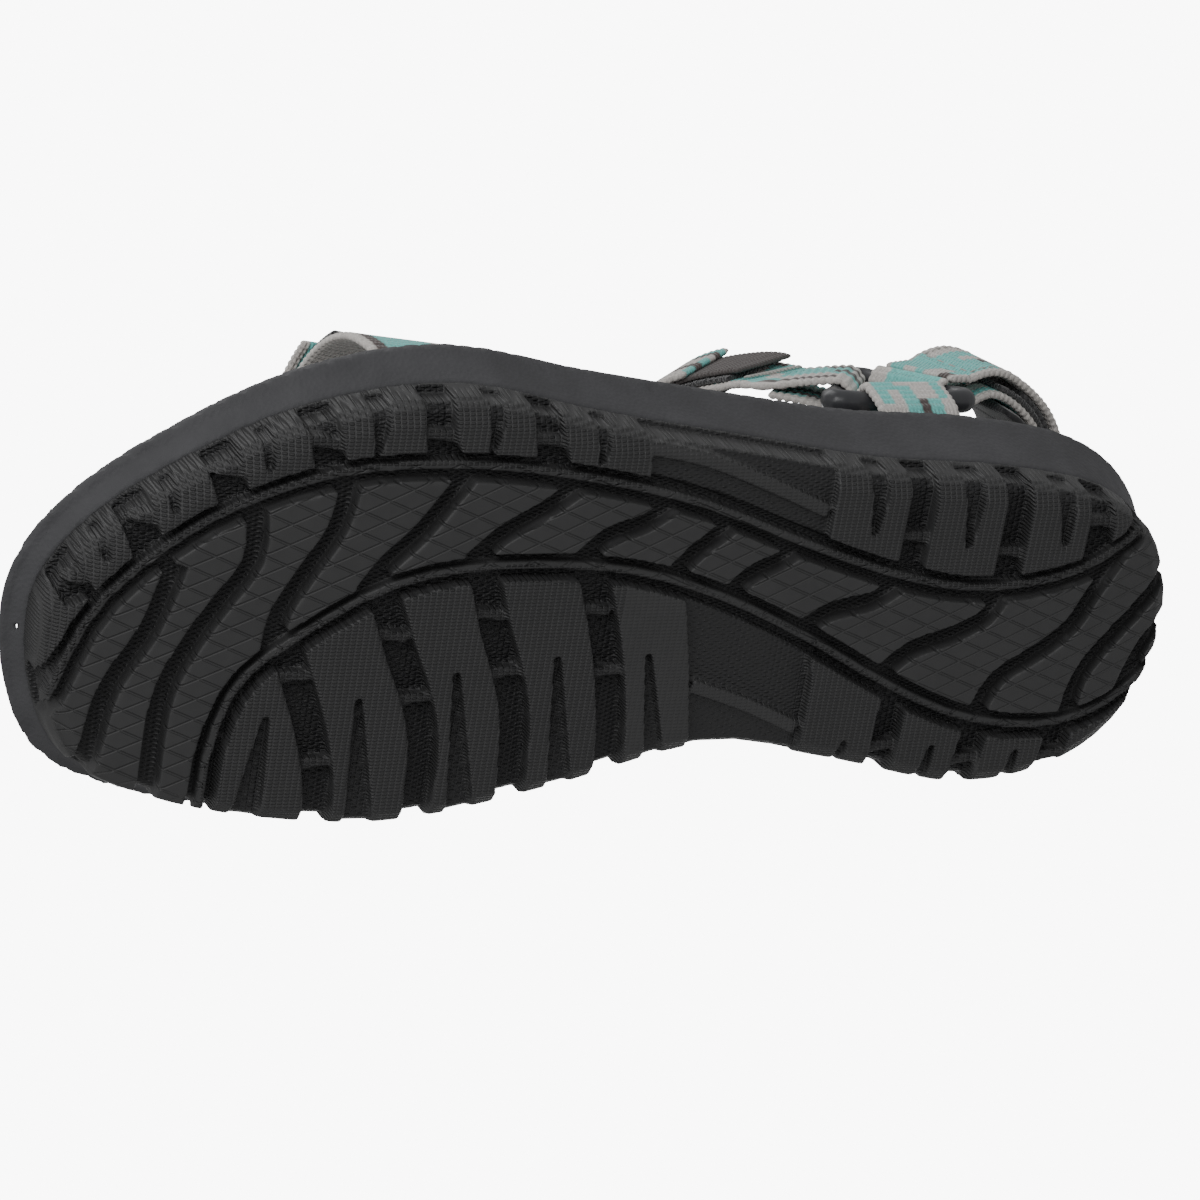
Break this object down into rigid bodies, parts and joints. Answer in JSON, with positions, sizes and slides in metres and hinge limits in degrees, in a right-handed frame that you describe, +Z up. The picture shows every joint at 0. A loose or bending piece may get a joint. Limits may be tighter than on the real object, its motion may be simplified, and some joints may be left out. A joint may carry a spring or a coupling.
{
  "type": "strappy sport sandal",
  "caption": "Left sport sandal with a lugged rubber outsole, foam midsole and footbed, and webbing straps that close with hook-and-loop adjusters at toe, instep and heel.",
  "frame": {"origin": "middle of the sandal's footprint, on the ground", "axes": "+X from toe to heel, +Y towards the inner (medial) side, +Z up"},
  "size_m": [0.2704, 0.1068, 0.107],
  "materials": {
    "outsole_rubber": "matte moulded rubber, fine ribs on the lugs, glossier groove lines",
    "midsole_foam": "matte moulded foam with a pebbled side",
    "footbed_foam": "matte foam with a fine raised texture",
    "webbing": "ribbed jacquard webbing in turquoise, light warm grey and dark taupe",
    "grosgrain": "ribbed grosgrain tape",
    "loop_tape": "fuzzy loop pile",
    "hook_tape": "rows of small hooks",
    "lining": "soft knitted lining over foam",
    "ring_plastic": "smooth dark moulded plastic",
    "thread": "polyester thread in close zigzag rows"
  },
  "bodies": {
    "sandal": {"outsole": "outsole_rubber", "midsole": "midsole_foam", "footbed": "footbed_foam", "toe_strap_lateral": "webbing", "toe_strap_medial": "webbing", "toe_loop_patch": "loop_tape", "ring_lateral": "ring_plastic", "ring_medial": "ring_plastic", "quarter_strap_lateral": "webbing", "quarter_strap_medial": "webbing", "instep_strap": "webbing", "instep_loop_patch": "loop_tape", "instep_pad": "lining", "instep_bar_tack": "thread", "heel_strap": "webbing", "heel_loop_patch": "loop_tape", "heel_pad": "lining", "heel_bar_tack": "thread"},
    "toe_adjuster": {"toe_tail": "webbing", "toe_hook_patch": "hook_tape", "toe_pull_tab": "grosgrain"},
    "instep_adjuster": {"instep_tail": "webbing", "instep_hook_patch": "hook_tape", "instep_pull_tab": "grosgrain"},
    "heel_adjuster": {"heel_tail": "webbing", "heel_hook_patch": "hook_tape", "heel_pull_tab": "grosgrain"}
  },
  "joints": [
    {"name": "toe_adjuster_peel", "type": "hinge", "parent": "sandal", "child": "toe_adjuster", "pos_m": [-0.05888, 0.03716, 0.05715], "axis": [-0.989, -0.1415, -0.0431], "range_deg": [0, 120]},
    {"name": "instep_adjuster_peel", "type": "hinge", "parent": "sandal", "child": "instep_adjuster", "pos_m": [0.06495, 0.0458, 0.05725], "axis": [-0.6957, 0.1525, -0.702], "range_deg": [0, 110]},
    {"name": "heel_adjuster_peel", "type": "hinge", "parent": "sandal", "child": "heel_adjuster", "pos_m": [0.08584, -0.03194, 0.05705], "axis": [0.395, -0.1991, -0.8969], "range_deg": [0, 110]}
  ]
}
